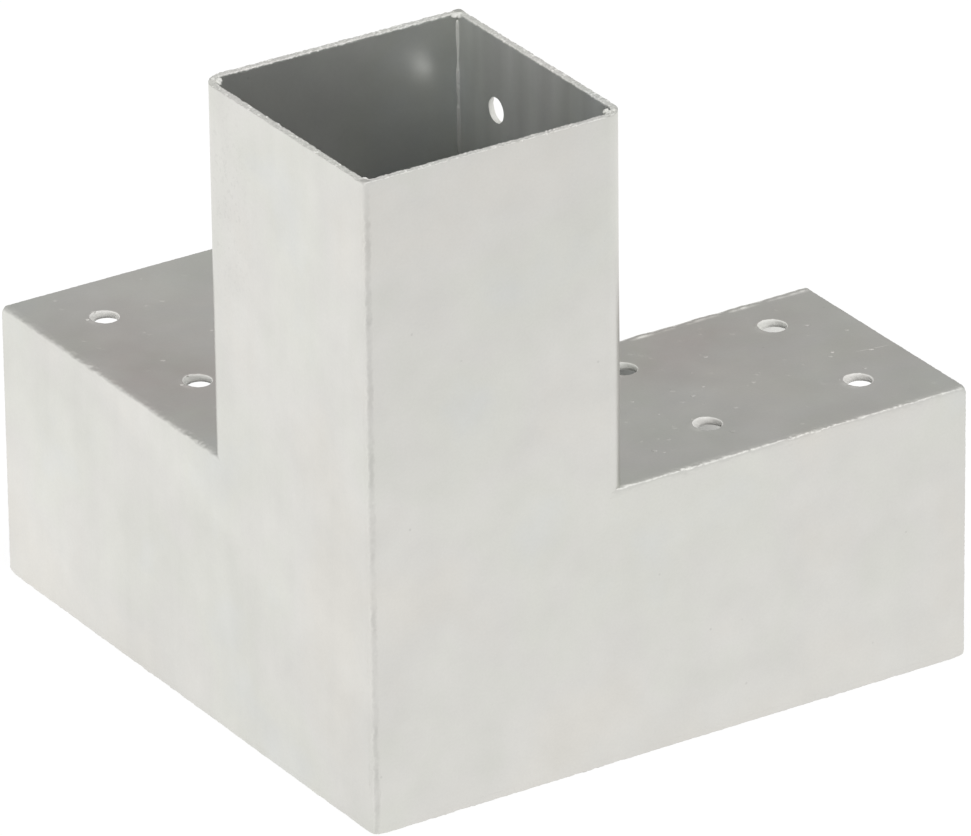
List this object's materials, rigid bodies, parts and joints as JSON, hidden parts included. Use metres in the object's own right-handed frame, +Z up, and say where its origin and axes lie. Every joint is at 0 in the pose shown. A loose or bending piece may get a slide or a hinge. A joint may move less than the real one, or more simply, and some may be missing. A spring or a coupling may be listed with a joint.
{
  "type": "y-shaped post connector",
  "caption": "Welded corner connector of folded galvanised sheet: square sockets point up and along both sides of a corner, with screw holes to hold timber posts.",
  "frame": {"origin": "on the underside, at the foot of the upright socket's axis (mount base_face)", "axes": "+Z up along the upright socket, +X along the right leg's socket, +Y along the left leg's socket"},
  "size_m": [0.175, 0.175, 0.175],
  "materials": {
    "galvanised_sheet": "hot-dip galvanised, satin grey with faint clouds, pits and zinc pimples",
    "galvanised_weld": "hot-dip galvanised over a ground weld seam, bumpy"
  },
  "bodies": {
    "root": {"right_face_plate": "galvanised_sheet", "left_face_plate": "galvanised_sheet", "base_plate": "galvanised_sheet", "right_leg_angle": "galvanised_sheet", "left_leg_angle": "galvanised_sheet", "front_corner_weld": "galvanised_weld", "right_base_weld": "galvanised_weld", "left_base_weld": "galvanised_weld", "right_top_weld": "galvanised_weld", "left_top_weld": "galvanised_weld", "back_corner_weld": "galvanised_weld", "inner_corner_weld": "galvanised_weld", "right_inner_base_weld": "galvanised_weld", "left_inner_base_weld": "galvanised_weld", "right_root_weld": "galvanised_weld", "left_root_weld": "galvanised_weld"}
  },
  "joints": []
}
